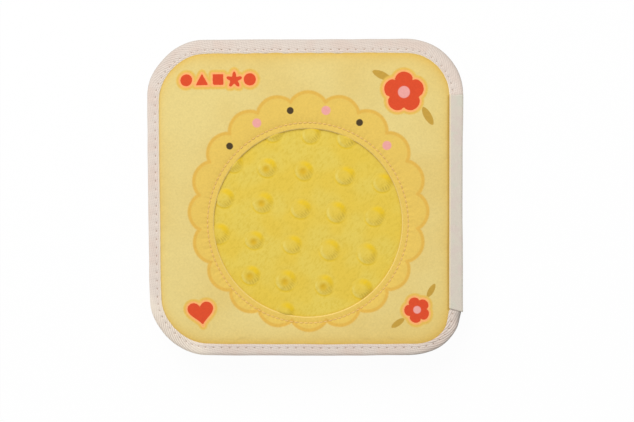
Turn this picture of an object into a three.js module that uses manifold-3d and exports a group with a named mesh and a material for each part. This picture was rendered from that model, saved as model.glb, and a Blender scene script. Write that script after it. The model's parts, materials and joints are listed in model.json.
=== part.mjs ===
// A padded cloth book for babies, made as a three.js scene. It has three foam-filled leaves, each bound in
// twill tape, and a folded spine strip holds them together along the right-hand edge.
// Millimetres, +Z up. The book lies closed and flat, page 1 faces up, +Y points to the top of the page, and
// the origin is the middle of the footprint, on the table.
import * as THREE from 'three';
import Module from 'manifold-3d';
import { mergeVertices } from 'three/addons/utils/BufferGeometryUtils.js';

const wasm = await Module();
wasm.setup();

// Driving dimensions of a leaf, over its binding
const leafWidth = 180;
const leafHeight = 180.6;
const leafThickness = 7;
const leafCornerRadius = 31.8;

// Cloth, tape and thread
const panelThickness = 0.6;
const patchThickness = 0.6;
const tapeThickness = 0.7;
const tapeWidth = 7; // on each face of the leaf
const tapeEdgeRounding = 1;
const layerGap = 0.2; // between two layers that lie on each other
const threadWidth = 0.6;
const threadHeight = 0.25;

// The binding's seam, sunk in the tape
const edgeSeamInset = 4.3;
const edgeSeamGrooveWidth = 1.4;
const edgeSeamGrooveDepth = 0.5;
const edgeSeamDepth = 0.08; // from the tape's face down to the thread

// How the padding swells and draws in, measured down from the tape's outer face
const crownDepth = 0.3;
const windowDepth = 0.8;
const windowSeamDip = 0.15;
const crownStart = 1; // beyond the tape's inner edge
const crownPlaceShare = 0.5; // from the tape to the patch

// The window and the patch behind it
const windowCentre = new THREE.Vector2(1.7, -14.4);
const windowRadius = 53.4;
const lobedWindowRadius = 50;
const windowSeamOffset = 3.1;
const patchAllowance = 7; // how far the patch reaches beyond the window's edge
const patchSideGap = 0.5;
const patchCrown = 0.4;
const patchCrownStart = 1; // inside the window's edge
const patchCrownRun = 7;

// Raised dots of the dimple plush, on a slightly slanting lattice
const dotOrigin = new THREE.Vector2(-3.4, -5.5);
const dotColumnStep = new THREE.Vector2(21.4, -2.7);
const dotRowStep = new THREE.Vector2(3.5, 20.9);
const dotRadius = 5.7;
const dotHeight = 2;
const dimpleDepth = 0.9;
const dotReachSteps = 4;
const smallestDotShare = 0.24; // of a dot's width that must still lie inside the window
const dimpledDots = ['-1,1', '0,1', '-1,0', '-1,-1', '-1,-2', '0,-2', '1,-2']; // column,row
// Outlines of a dot, as shares of its radius and height, from its foot up
const roundDotShares = [[1, 0], [0.85, 0.55], [0.5, 0.9]];
const dimpledDotShares = [[1, 0], [0.85, 0.55], [0.55, 0.95], [0.3, 0.85]];

// The spine: a strip over the right-hand edge, measured from the middle of that edge
const spineAbove = 58.2;
const spineBelow = 64.5;
const spineFlange = 7.9;
const spineHalvesGap = 0.3;
const tapeEndGap = 0.2;
const leafGap = 0.3; // between two closed leaves

// Fineness of the facets
const cornerSteps = 5;
const edgeSteps = 5;
const dotSides = 8;
const shortestFacet = 1;
const cutOverrun = 1;

// Levels above the middle of a leaf, all worked out from the layers
const tapeFace = leafThickness / 2;
const panelFaceUnderTape = tapeFace - tapeThickness - layerGap;
const panelFaceAtCrown = tapeFace - crownDepth;
const panelFaceAtWindow = tapeFace - windowDepth;
const panelFaceAtSeam = panelFaceAtWindow - windowSeamDip;
const foamFaceUnderTape = panelFaceUnderTape - panelThickness - layerGap;
const foamFaceAtCrown = panelFaceAtCrown - panelThickness - layerGap;
const patchFace = panelFaceAtWindow - panelThickness - layerGap;
const foamFaceUnderPatch = patchFace - patchThickness - layerGap;
const panelInset = tapeThickness + layerGap;

// Heights of the leaves in the closed book
const leafPitch = leafThickness + leafGap;
const leafCount = 3;
const stackHeight = leafCount * leafThickness + (leafCount - 1) * leafGap;
const leafLevel = (leaf) => stackHeight - tapeFace - (leaf - 1) * leafPitch;

// The outline of a leaf is followed counterclockwise, from the middle of its right-hand edge
const straightAcross = leafWidth / 2 - leafCornerRadius;
const straightDown = leafHeight / 2 - leafCornerRadius;
const cornerLength = leafCornerRadius * Math.PI / 2;
const quarterLength = straightAcross + straightDown + cornerLength;
const outlineLength = 4 * quarterLength;

// A point at a distance along the outline, moved inwards by inset
function outlinePoint(distance, inset) {
  const along = ((distance % outlineLength) + outlineLength) % outlineLength;
  const quarter = Math.floor(along / quarterLength) % 4;
  const rest = along - quarter * quarterLength;
  const across = quarter % 2 === 0 ? straightAcross : straightDown;
  const up = quarter % 2 === 0 ? straightDown : straightAcross;
  const radius = leafCornerRadius - inset;
  const point = new THREE.Vector2();
  if (rest < up) {
    point.set(across + radius, rest);
  } else if (rest < up + cornerLength) {
    const turn = (rest - up) / leafCornerRadius;
    point.set(across + radius * Math.cos(turn), up + radius * Math.sin(turn));
  } else {
    point.set(across - (rest - up - cornerLength), up + radius);
  }
  return point.rotateAround(new THREE.Vector2(), quarter * Math.PI / 2);
}

// Distances along the whole outline at which the facets meet: those of the corners, and with them those
// that divide the straight edges
const cornerStations = [];
const stations = [];
for (let corner = 0; corner < 4; corner++) {
  const before = corner % 2 === 0 ? straightDown : straightAcross;
  const after = corner % 2 === 0 ? straightAcross : straightDown;
  const start = corner * quarterLength + before;
  for (let step = 0; step <= cornerSteps; step++) {
    cornerStations.push(start + cornerLength * step / cornerSteps);
  }
  for (let step = 0; step < cornerSteps; step++) {
    stations.push(start + cornerLength * step / cornerSteps);
  }
  for (let step = 0; step < edgeSteps; step++) {
    stations.push(start + cornerLength + 2 * after * step / edgeSteps);
  }
}

// The corners' stations within a stretch of the outline, with its two ends
function stretch(from, to) {
  const around = [...cornerStations.map((s) => s - outlineLength), ...cornerStations];
  const between = around.filter((s) => s > from + shortestFacet && s < to - shortestFacet);
  return [from, ...between, to];
}

function leafRing(inset) {
  return stations.map((distance) => outlinePoint(distance, inset));
}

// A window is a circle with shallow lobes. Its points go round in step with those of the leaf's outline
function windowRing(page, offset) {
  const radius = page.lobes === 0 ? windowRadius : lobedWindowRadius;
  return stations.map((distance, index) => {
    const angle = (index + edgeSteps / 2) * 2 * Math.PI / stations.length;
    const reach = radius * (1 - page.lobeShare * Math.cos(page.lobes * angle)) + offset;
    return new THREE.Vector2(Math.cos(angle), Math.sin(angle)).multiplyScalar(reach).add(windowCentre);
  });
}

function betweenRings(outer, inner, share) {
  return outer.map((point, index) => point.clone().lerp(inner[index], share));
}

function atLevel(ring, z) {
  return ring.map((point) => new THREE.Vector3(point.x, point.y, z));
}

function signedVolume(points, triangles) {
  const cross = new THREE.Vector3();
  return triangles.reduce((sum, [a, b, c]) => {
    return sum + points[a].dot(cross.crossVectors(points[b], points[c])) / 6;
  }, 0);
}

// Triangles that fill a flat outline, turning the same way as the outline does
function fill(outline) {
  const turn = Math.sign(THREE.ShapeUtils.area(outline));
  return THREE.ShapeUtils.triangulateShape(outline, []).map((face) => {
    const area = THREE.ShapeUtils.area(face.map((i) => outline[i]));
    return Math.sign(area) === turn ? face : [...face].reverse();
  });
}

// Joins loops of equal length into one closed surface. The last loop joins the first, or, where the first
// and last loop are also given as flat outlines, both ends are capped.
function skin(loops, firstOutline, lastOutline = firstOutline) {
  const count = loops[0].length;
  const points = loops.flat();
  const triangles = [];
  const bands = firstOutline ? loops.length - 1 : loops.length;
  for (let band = 0; band < bands; band++) {
    const next = (band + 1) % loops.length;
    for (let i = 0; i < count; i++) {
      const j = (i + 1) % count;
      triangles.push([band * count + i, band * count + j, next * count + j]);
      triangles.push([band * count + i, next * count + j, next * count + i]);
    }
  }
  if (firstOutline) {
    const last = points.length - count;
    triangles.push(...fill(firstOutline).map((face) => [...face].reverse()));
    triangles.push(...fill(lastOutline).map((face) => face.map((i) => last + i)));
  }
  if (signedVolume(points, triangles) < 0) {
    triangles.forEach((face) => face.reverse());
  }
  const geometry = new THREE.BufferGeometry();
  geometry.setAttribute('position', new THREE.Float32BufferAttribute(points.flatMap((p) => p.toArray()), 3));
  geometry.setIndex(triangles.flat());
  geometry.computeVertexNormals();
  return geometry;
}

// A section, drawn as [inset, z], that follows the outline
function sweep(section, from, to) {
  const loops = stretch(from, to).map((distance) => section.map(([inset, z]) => {
    const point = outlinePoint(distance, inset);
    return new THREE.Vector3(point.x, point.y, z);
  }));
  return skin(loops, section.map(([inset, z]) => new THREE.Vector2(inset, z)));
}

// Joining and cutting
function toSolid(geometry) {
  const bare = geometry.clone();
  bare.deleteAttribute('normal');
  bare.deleteAttribute('uv');
  const merged = mergeVertices(bare);
  return new wasm.Manifold(new wasm.Mesh({
    numProp: 3,
    vertProperties: new Float32Array(merged.attributes.position.array),
    triVerts: new Uint32Array(merged.index.array),
  }));
}

function toGeometry(solid) {
  const mesh = solid.getMesh();
  const geometry = new THREE.BufferGeometry();
  geometry.setAttribute('position', new THREE.Float32BufferAttribute(mesh.vertProperties, mesh.numProp));
  geometry.setIndex([...mesh.triVerts]);
  geometry.computeVertexNormals();
  return geometry;
}

// The rings that the panels and the foam share, so that their faces run parallel
function paddingRings(page) {
  const edge = leafRing(panelInset);
  const tapeSide = leafRing(tapeWidth + crownStart);
  const seat = windowRing(page, patchAllowance + patchSideGap);
  return { edge, tapeSide, crown: betweenRings(tapeSide, seat, crownPlaceShare), seat };
}

// A printed panel: flat under the tape, swollen where the foam fills it, drawn in at the window's seam
function printedPanel(page) {
  const { edge, tapeSide, crown, seat } = paddingRings(page);
  const seam = windowRing(page, windowSeamOffset);
  const rim = windowRing(page, 0);
  const levels = [
    [edge, panelFaceUnderTape],
    [tapeSide, panelFaceUnderTape],
    [crown, panelFaceAtCrown],
    [seam, panelFaceAtSeam],
    [rim, panelFaceAtWindow],
    [rim, panelFaceAtWindow - panelThickness],
    [seat, panelFaceAtWindow - panelThickness],
    [crown, panelFaceAtCrown - panelThickness],
    [tapeSide, panelFaceUnderTape - panelThickness],
    [edge, panelFaceUnderTape - panelThickness],
  ];
  return skin(levels.map(([ring, z]) => atLevel(ring, z * page.side)));
}

// The foam core, pressed thin under the tape and under both patches
function foamCore(upperPage, lowerPage) {
  const levels = (page) => {
    const { edge, tapeSide, crown, seat } = paddingRings(page);
    return [
      [edge, foamFaceUnderTape],
      [tapeSide, foamFaceUnderTape],
      [crown, foamFaceAtCrown],
      [seat, patchFace],
      [seat, foamFaceUnderPatch],
    ].map(([ring, z]) => atLevel(ring, z * page.side));
  };
  const loops = [...levels(upperPage).reverse(), ...levels(lowerPage)];
  return skin(loops, paddingRings(upperPage).seat, paddingRings(lowerPage).seat);
}

// A patch of cloth behind a window. Its pile stands a little higher in the middle
function plainPatch(page) {
  const levels = [
    [windowRing(page, patchAllowance), patchFace - patchThickness],
    [windowRing(page, patchAllowance), patchFace],
    [windowRing(page, -patchCrownStart), patchFace],
    [windowRing(page, -patchCrownStart - patchCrownRun), patchFace + patchCrown],
  ];
  return skin(levels.map(([ring, z]) => atLevel(ring, z * page.side)), levels[0][0]);
}

// One raised dot of the plush, round or with a dimple pressed in its top
function plushDot(dimpled) {
  const foot = -patchThickness / 2;
  const shares = dimpled ? dimpledDotShares : roundDotShares;
  const points = [
    new THREE.Vector2(0, foot),
    new THREE.Vector2(dotRadius, foot),
    ...shares.map(([across, up]) => new THREE.Vector2(across * dotRadius, up * dotHeight)),
    new THREE.Vector2(0, dimpled ? dotHeight - dimpleDepth : dotHeight),
  ];
  return new THREE.LatheGeometry(points, dotSides).rotateX(Math.PI / 2);
}

// The dimple plush: dots wherever the lattice meets the window, cut off at the window's edge
function dimplePlushPatch(page) {
  const disc = windowRing(page, patchAllowance);
  const base = toSolid(skin([atLevel(disc, patchFace - patchThickness), atLevel(disc, patchFace)], disc));
  const opening = windowRing(page, -layerGap);
  const low = patchFace - patchThickness / 2;
  const high = patchFace + dotHeight + cutOverrun;
  const limit = toSolid(skin([atLevel(opening, low), atLevel(opening, high)], opening));
  const dots = [];
  for (let column = -dotReachSteps; column <= dotReachSteps; column++) {
    for (let row = -dotReachSteps; row <= dotReachSteps; row++) {
      const place = dotOrigin.clone().addScaledVector(dotColumnStep, column).addScaledVector(dotRowStep, row);
      const reach = windowRadius - place.distanceTo(windowCentre);
      if (reach > dotRadius * (2 * smallestDotShare - 1)) {
        const dot = plushDot(dimpledDots.includes(`${column},${row}`));
        dots.push(toSolid(dot.translate(place.x, place.y, patchFace)));
      }
    }
  }
  return toGeometry(dots.reduce((all, dot) => all.add(dot)).intersect(limit).add(base));
}

// The window's seam: a thread that lies along the dip in the panel
function windowSeam(page) {
  const foot = panelFaceAtWindow + layerGap / 2;
  const levels = [
    [windowRing(page, windowSeamOffset - threadWidth / 2), foot],
    [windowRing(page, windowSeamOffset + threadWidth / 2), foot],
    [windowRing(page, windowSeamOffset), foot + threadHeight],
  ];
  return skin(levels.map(([ring, z]) => atLevel(ring, z * page.side)));
}

// The binding runs from the top end of the spine strip, round three sides, to its bottom end
const bindingStart = spineAbove + tapeEndGap;
const bindingEnd = outlineLength - spineBelow - tapeEndGap;

function bindingTape() {
  const groove = edgeSeamGrooveWidth / 2;
  const upper = [
    [0, tapeFace - tapeEdgeRounding],
    [tapeEdgeRounding, tapeFace],
    [edgeSeamInset - groove, tapeFace],
    [edgeSeamInset, tapeFace - edgeSeamGrooveDepth],
    [edgeSeamInset + groove, tapeFace],
    [tapeWidth, tapeFace],
    [tapeWidth, tapeFace - tapeThickness],
    [tapeThickness, tapeFace - tapeThickness],
  ];
  const lower = upper.map(([inset, z]) => [inset, -z]).reverse();
  return sweep([...upper, ...lower], bindingStart, bindingEnd);
}

function edgeSeam(page) {
  const top = tapeFace - edgeSeamDepth;
  const section = [
    [edgeSeamInset - threadWidth / 2, top],
    [edgeSeamInset + threadWidth / 2, top],
    [edgeSeamInset, top - threadHeight],
  ];
  return sweep(section.map(([inset, z]) => [inset, z * page.side]), bindingStart, bindingEnd);
}

// A gutter tape lies on the page along the spine, flush with the binding
function gutterTape(page) {
  const section = [
    [panelInset, tapeFace - tapeThickness],
    [panelInset, tapeFace],
    [spineFlange, tapeFace],
    [spineFlange, tapeFace - tapeThickness],
  ];
  return sweep(section.map(([inset, z]) => [inset, z * page.side]), -spineBelow, spineAbove);
}

// Half of the spine strip: a flange on the cover and a wall down to the middle of the stack
function spineStripHalf(side) {
  const middle = stackHeight / 2;
  const section = [
    [0, middle - tapeEdgeRounding],
    [tapeEdgeRounding, middle],
    [spineFlange, middle],
    [spineFlange, middle - tapeThickness],
    [tapeThickness, middle - tapeThickness],
    [tapeThickness, spineHalvesGap / 2],
    [0, spineHalvesGap / 2],
  ];
  return sweep(section.map(([inset, z]) => [inset, middle + z * side]), -spineBelow, spineAbove);
}

// Materials
const twill = { color: 0xe3d8d0, roughness: 0.9 };
const spineCloth = { color: 0xd6cdc0, roughness: 0.85 };
const foam = { color: 0xf3efe4, roughness: 1 };
const goldenThread = { color: 0xf0c98a, roughness: 0.6 };
const twillThread = { color: 0xd9ccc0, roughness: 0.7 };

const pages = [
  { cloth: 'dimple_plush', lobes: 0, lobeShare: 0, print: 0xe8d283, color: 0xe6cf52 },
  { cloth: 'corduroy', lobes: 4, lobeShare: 0.07, print: 0xbfdbe6, color: 0x6d9fc0 },
  { cloth: 'terry', lobes: 5, lobeShare: 0.08, print: 0xcfe0b0, color: 0xf4efe2 },
  { cloth: 'satin', lobes: 2, lobeShare: 0.08, print: 0xf0c9bd, color: 0xe58f86 },
  { cloth: 'leatherette', lobes: 3, lobeShare: 0.08, print: 0xf2dcb2, color: 0xb9744a },
  { cloth: 'waffle', lobes: 6, lobeShare: 0.04, print: 0xd9cfe4, color: 0xe9dfcd },
];

const book = new THREE.Group();

function addPiece(name, geometry, look, z) {
  const mesh = new THREE.Mesh(geometry, new THREE.MeshStandardMaterial({ metalness: 0, ...look }));
  mesh.name = name;
  mesh.position.z = z;
  book.add(mesh);
}

pages.forEach((page, index) => {
  page.number = index + 1;
  page.leaf = Math.floor(index / 2) + 1;
  page.side = index % 2 === 0 ? 1 : -1;
});

for (let leaf = 1; leaf <= leafCount; leaf++) {
  const z = leafLevel(leaf);
  const [upperPage, lowerPage] = pages.filter((page) => page.leaf === leaf);
  addPiece(`leaf_${leaf}_foam_core`, foamCore(upperPage, lowerPage), foam, z);
  addPiece(`leaf_${leaf}_binding_tape`, bindingTape(), twill, z);
  for (const page of [upperPage, lowerPage]) {
    const name = `page_${page.number}`;
    const patch = page.cloth === 'dimple_plush' ? dimplePlushPatch(page) : plainPatch(page);
    addPiece(`${name}_printed_panel`, printedPanel(page), { color: page.print, roughness: 0.8 }, z);
    addPiece(`${name}_${page.cloth}_patch`, patch, { color: page.color, roughness: 0.9 }, z);
    addPiece(`${name}_window_seam`, windowSeam(page), goldenThread, z);
    addPiece(`${name}_edge_seam`, edgeSeam(page), twillThread, z);
    const isCover = page.number === 1 || page.number === pages.length;
    if (!isCover) {
      addPiece(`${name}_gutter_tape`, gutterTape(page), spineCloth, z);
    }
  }
}

addPiece('spine_strip_upper', spineStripHalf(1), spineCloth, 0);
addPiece('spine_strip_lower', spineStripHalf(-1), spineCloth, 0);

export default book;
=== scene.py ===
import json
from math import ceil, cos, exp, floor, pi, radians, sin, sqrt, tau
import bpy
import numpy as np
from mathutils import Matrix, Vector

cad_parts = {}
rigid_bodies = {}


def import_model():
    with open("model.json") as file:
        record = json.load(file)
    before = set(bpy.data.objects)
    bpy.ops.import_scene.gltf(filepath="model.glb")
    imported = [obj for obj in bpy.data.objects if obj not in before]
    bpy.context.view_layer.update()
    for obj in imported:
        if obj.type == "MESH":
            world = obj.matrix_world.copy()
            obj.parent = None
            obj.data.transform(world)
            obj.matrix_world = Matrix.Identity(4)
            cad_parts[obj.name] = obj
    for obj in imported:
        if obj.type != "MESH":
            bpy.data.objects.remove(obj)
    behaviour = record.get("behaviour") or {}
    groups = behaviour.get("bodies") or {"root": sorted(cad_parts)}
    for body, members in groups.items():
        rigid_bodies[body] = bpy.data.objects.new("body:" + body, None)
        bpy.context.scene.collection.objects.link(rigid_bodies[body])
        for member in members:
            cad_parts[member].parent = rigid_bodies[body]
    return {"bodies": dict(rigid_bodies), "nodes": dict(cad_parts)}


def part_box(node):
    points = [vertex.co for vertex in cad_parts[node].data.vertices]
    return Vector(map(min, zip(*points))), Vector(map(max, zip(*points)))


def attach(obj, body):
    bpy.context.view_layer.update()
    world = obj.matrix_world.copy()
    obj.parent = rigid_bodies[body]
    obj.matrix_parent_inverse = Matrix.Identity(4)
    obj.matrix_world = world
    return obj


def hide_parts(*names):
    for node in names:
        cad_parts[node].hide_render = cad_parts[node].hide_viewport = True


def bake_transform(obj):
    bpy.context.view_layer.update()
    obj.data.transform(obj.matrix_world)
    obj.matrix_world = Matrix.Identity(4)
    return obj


# A padded cloth book for babies, closed and lying flat. Three foam leaves are bound in twill tape, a folded
# strip holds them together at the right, and each page has a window with a different cloth to feel.
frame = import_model()
loaded = [*frame["bodies"].values(), *frame["nodes"].values()]
for item in [item for item in bpy.data.objects if item not in loaded]:
    bpy.data.objects.remove(item, do_unlink=True)
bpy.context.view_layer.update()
mm = 0.001  # sizes are in millimetres and become metres where a mesh is made

# What the frame holds is read from it
tapeLow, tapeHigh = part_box("leaf_1_binding_tape")
stripLow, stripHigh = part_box("spine_strip_upper")
halfWidth, halfHeight, halfThickness = ((high - low) / 2 / mm for low, high in zip(tapeLow, tapeHigh))
spineTop, spineBottom = stripHigh[1] / mm, stripLow[1] / mm
bodies = {1: "top_leaf", 2: "middle_leaf", 3: "bottom_leaf"}
levels = {}
for number in bodies:
    low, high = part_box(f"leaf_{number}_binding_tape")
    levels[number] = (low[2] + high[2]) / 2 / mm
stackMiddle = levels[2]

# How far the binding reaches onto a page at each side, and the rounds of its corners
binding = {"left": 7.0, "top": 8.3, "bottom": 7.0, "spine": 8.2, "outerCorner": 31.8, "innerCorner": 25.6,
           "lastCorner": 21.0, "wobble": 0.16}
outlineLength = 4 * (halfWidth + halfHeight - 2 * binding["outerCorner"]) + tau * binding["outerCorner"]

# The pages. A window is a circle with shallow lobes, and its cloth lies behind it
window = {"centre": (1.3, -14.2), "allowance": 7.0, "seamOffset": 3.1, "seamPitch": 2.8}
centreX, centreY = window["centre"]
pageSizes = [  # cloth, radius of the window, its lobes and their share of the radius, points round the panel
    ("dimple_plush", 54.1, 0, 0.0, 1080), ("corduroy", 50.0, 4, 0.07, 720), ("terry", 50.0, 5, 0.08, 720),
    ("satin", 50.0, 2, 0.08, 720), ("leatherette", 50.0, 3, 0.08, 720), ("waffle", 50.0, 6, 0.04, 720),
]
pages = {}
for number, sizes in enumerate(pageSizes, 1):
    page = dict(zip(("cloth", "radius", "lobes", "lobeShare", "around"), sizes), number=number)
    page["leaf"], page["side"] = (number + 1) // 2, 1 if number % 2 else -1
    page["body"] = bodies[page["leaf"]]
    page["stitches"] = round(tau * (page["radius"] + window["seamOffset"]) / window["seamPitch"])
    pages[number] = page


# Curves and fields that several pieces share
def followOutline(along, inset):
    # the leaf's outline, counterclockwise from the middle of the spine edge, moved inwards
    corner = binding["outerCorner"]
    straightX, straightY, arc = halfWidth - corner, halfHeight - corner, corner * pi / 2
    quarterLength = straightX + straightY + arc
    along, inset = np.broadcast_arrays(along, inset)
    along = np.mod(along, 4 * quarterLength)
    quarter = np.floor(along / quarterLength).astype(int) % 4
    rest = along - quarter * quarterLength
    across = np.where(quarter % 2, straightY, straightX)
    up = np.where(quarter % 2, straightX, straightY)
    turn = np.clip((rest - up) / corner, 0, pi / 2)
    x = across + (corner - inset) * np.cos(turn) - np.maximum(rest - up - arc, 0)
    y = np.minimum(rest, up) + (corner - inset) * np.sin(turn)
    cosine, sine = np.array([1, 0, -1, 0])[quarter], np.array([0, 1, 0, -1])[quarter]
    return np.array([x * cosine - y * sine, x * sine + y * cosine])


def ripple(x, y, size, seed):
    # gentle unevenness between about -1 and 1, in waves about this size
    chance = np.random.default_rng(seed)
    total = 0
    for _ in range(5):
        heading, phase, stretch = chance.uniform((0, 0, 0.7), (tau, tau, 1.4))
        total = total + np.sin((x * cos(heading) + y * sin(heading)) * tau / (size * stretch) + phase)
    return total * 0.3


def bump(distance, width):
    return np.exp(-((distance / width) ** 2))


def easeIn(value, start, end):
    share = np.clip((value - start) / (end - start), 0, 1)
    return share * share * (3 - 2 * share)


def fromTape(x, y):
    # distance inwards from the inner edge of the binding, which isn't quite straight. The tape's last corner,
    # at the lower end of the spine, is turned more tightly
    corner = np.where((x > 0) & (y < 0), binding["lastCorner"], binding["innerCorner"])
    beyond = []
    for value, half, near, far in ((x, halfWidth, "left", "spine"), (y, halfHeight, "bottom", "top")):
        near, far = binding[near] - half, half - binding[far]
        beyond.append(np.abs(value - (near + far) / 2) - ((far - near) / 2 - corner))
    depth = corner - np.hypot(*np.maximum(beyond, 0)) - np.minimum(np.maximum(*beyond), 0)
    return depth + binding["wobble"] * ripple(x, y, 26, 3)


def windowReach(page, angle):
    return page["radius"] * (1 - page["lobeShare"] * np.cos(page["lobes"] * angle))


def fromWindow(page, x, y):
    # distance outwards from the window's edge
    return np.hypot(x - centreX, y - centreY) - windowReach(page, np.arctan2(y - centreY, x - centreX))


def windowRing(page, angle, offset):
    reach = windowReach(page, angle) + offset
    return np.array([centreX + reach * np.cos(angle), centreY + reach * np.sin(angle)])


# Sewing has pulled the corners in or out by a little, in millimetres along the diagonal and over this width,
# and the lower edge hangs out in its middle
sewn = {"cornerAt": 78.5, "sag": 0.5, "sagMiddle": 22, "sagWidth": 45,
        "pull": {(-1, 1): (1.3, 16), (1, 1): (0.1, 16), (-1, -1): (1.5, 20), (1, -1): (-1.5, 16)}}


def settle(points):
    points = np.array(points, float)
    x, y = points[:, :2].T.copy()
    for (sideX, sideY), (pull, width) in sewn["pull"].items():
        away = np.hypot(x - sewn["cornerAt"] * sideX, y - sewn["cornerAt"] * sideY)
        share = bump(away, width) * pull * sqrt(0.5)
        if sideX > 0:  # the spine stays straight
            share = share * easeIn(np.abs(y), 66, 74)
        points[:, 0] -= sideX * share
        points[:, 1] -= sideY * share
    points[:, 1] -= sewn["sag"] * bump(x - sewn["sagMiddle"], sewn["sagWidth"]) * easeIn(-y, 70, 88)
    return points


# Meshes
def addObject(name, data):
    item = bpy.data.objects.new(name, data)
    bpy.context.scene.collection.objects.link(item)
    return item


def closedPiece(name, points, faces, material, fields=None):
    # a smooth mesh from points in millimetres, turned so that its faces look outwards
    points = settle(points)
    fans = np.array([(face[0], *pair) for face in faces for pair in zip(face[1:], face[2:])])
    a, b, c = points[fans].swapaxes(0, 1)
    if (a * np.cross(b, c)).sum() < 0:
        faces = [face[::-1] for face in faces]
    mesh = bpy.data.meshes.new(name)
    mesh.from_pydata((points * mm).tolist(), [], faces)
    mesh.shade_smooth()
    mesh.materials.append(material)
    for field, values in (fields or {}).items():
        attribute = mesh.attributes.new(field, "FLOAT", "POINT")
        attribute.data.foreach_set("value", np.ravel(values).astype(np.float32))
    return addObject(name, mesh)


def rowsOfQuads(rows, columns, wrapRows, wrapColumns=True):
    index = np.arange(rows * columns).reshape(rows, columns)
    down, across = np.roll(index, -1, axis=0), np.roll(index, -1, axis=1)
    quads = np.stack([index, across, np.roll(down, -1, axis=1), down], axis=-1)
    quads = quads[:rows if wrapRows else rows - 1, :columns if wrapColumns else columns - 1]
    return quads.reshape(-1, 4).tolist()


def loopPiece(name, points, material, wrapRows=True, fields=None, cap=None):
    # points[row, column] in closed loops. The last loop joins the first, or both ends are capped
    rows, columns = points.shape[:2]
    faces = rowsOfQuads(rows, columns, wrapRows)
    if not wrapRows:
        for face in cap or [list(range(columns))]:
            faces += [face[::-1], [(rows - 1) * columns + corner for corner in face]]
    return closedPiece(name, points.reshape(-1, 3), faces, material, fields)


def atHeight(page, x, y, height):
    return np.stack([x, y, levels[page["leaf"]] + page["side"] * height + 0 * x], axis=-1)


print("outlines and mesh helpers ready")


# Materials
def linear(hexColour):
    channels = [int(hexColour[i:i + 2], 16) / 255 for i in (0, 2, 4)]
    return tuple(c / 12.92 if c <= 0.04045 else ((c + 0.055) / 1.055) ** 2.4 for c in channels) + (1.0,)


def addNode(tree, kind, inputs=(), output=0, **settings):
    # adds a node, sets it up, fills or links its inputs, by name or in order, and returns one of its outputs
    node = tree.nodes.new("ShaderNode" + kind)
    for name, value in settings.items():
        setattr(node, name, value)
    for name, value in inputs.items() if isinstance(inputs, dict) else enumerate(inputs):
        if isinstance(value, bpy.types.NodeSocket):
            tree.links.new(value, node.inputs[name])
        else:
            node.inputs[name].default_value = value
    return node.outputs[output] if len(node.outputs) else node


def newMaterial(name):
    material = bpy.data.materials.new(name)
    material.use_nodes = True
    material.node_tree.nodes.clear()
    return material, material.node_tree


def grain(tree, size, detail=1.0, stretch=(1, 1, 1), turn=0.0):
    # soft random grain of about this size in millimetres, fixed to the piece
    place = addNode(tree, "TexCoord", output="Object")
    place = addNode(tree, "Mapping", {"Vector": place, "Rotation": (0, 0, turn), "Scale": stretch},
                    vector_type="TEXTURE")
    inputs = {"Vector": place, "Scale": 1 / (size * mm), "Detail": detail}
    return addNode(tree, "TexNoise", inputs, output="Fac")


def field(tree, name):
    return addNode(tree, "Attribute", output="Fac", attribute_name=name)


def paintOver(tree, look, layers):
    # lays colours over the look's ground, each where its value runs from start to end. A colour may be given
    # by its name in the look, and a value by the name of its field
    colour = linear(look["ground"])
    for ink, value, start, end, *strength in layers:
        value = field(tree, value) if isinstance(value, str) else value
        mask = addNode(tree, "MapRange", (value, start, end, 0, *(strength or [1])),
                       interpolation_type="SMOOTHSTEP")
        colour = addNode(tree, "Mix", {0: mask, 6: colour, 7: linear(look.get(ink, ink))}, output=2,
                         data_type="RGBA")
    return colour


def waves(tree, value, pitch):
    # a row of even waves, one for each pitch
    scaled = addNode(tree, "Math", (value, tau / pitch), operation="MULTIPLY")
    return addNode(tree, "Math", (scaled,), operation="SINE")


def needleHoles(tree, start):
    # 1 at the holes along a seam, and less from this distance to the seam's line
    offLine = addNode(tree, "Math", (field(tree, "fromSeam"),), operation="ABSOLUTE")
    offLine = addNode(tree, "MapRange", (offLine, start, start + 0.5, 1, 0))
    return addNode(tree, "Math", (offLine, field(tree, "stitchPhase")), operation="MULTIPLY")


def finishMaterial(material, colour, height, look):
    # the cloth's surface, with the look's relief in millimetres, roughness and sheen
    tree = material.node_tree
    normal = addNode(tree, "Bump", {"Strength": 1.0, "Distance": look["relief"] * mm, "Height": height})
    inputs = {"Base Color": colour, "Roughness": look["roughness"], "Normal": normal,
              "Specular IOR Level": 0.3}
    inputs.update(zip(("Sheen Weight", "Sheen Roughness"), look.get("sheen", ())))
    addNode(tree, "OutputMaterial", {"Surface": addNode(tree, "BsdfPrincipled", inputs)})
    return material


# Brushed polyester, dye printed: matt and slightly fuzzy, so the ink has soft edges and a fine mottle. The
# knit is 0.4 mm apart, too fine to show here, so its mottle is drawn at about 1 mm
printLook = {"grain": 1.0, "tone": 34.0, "bleed": 0.12, "roughness": 0.88, "relief": 0.07,
             "sheen": (0.08, 0.5)}


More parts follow.
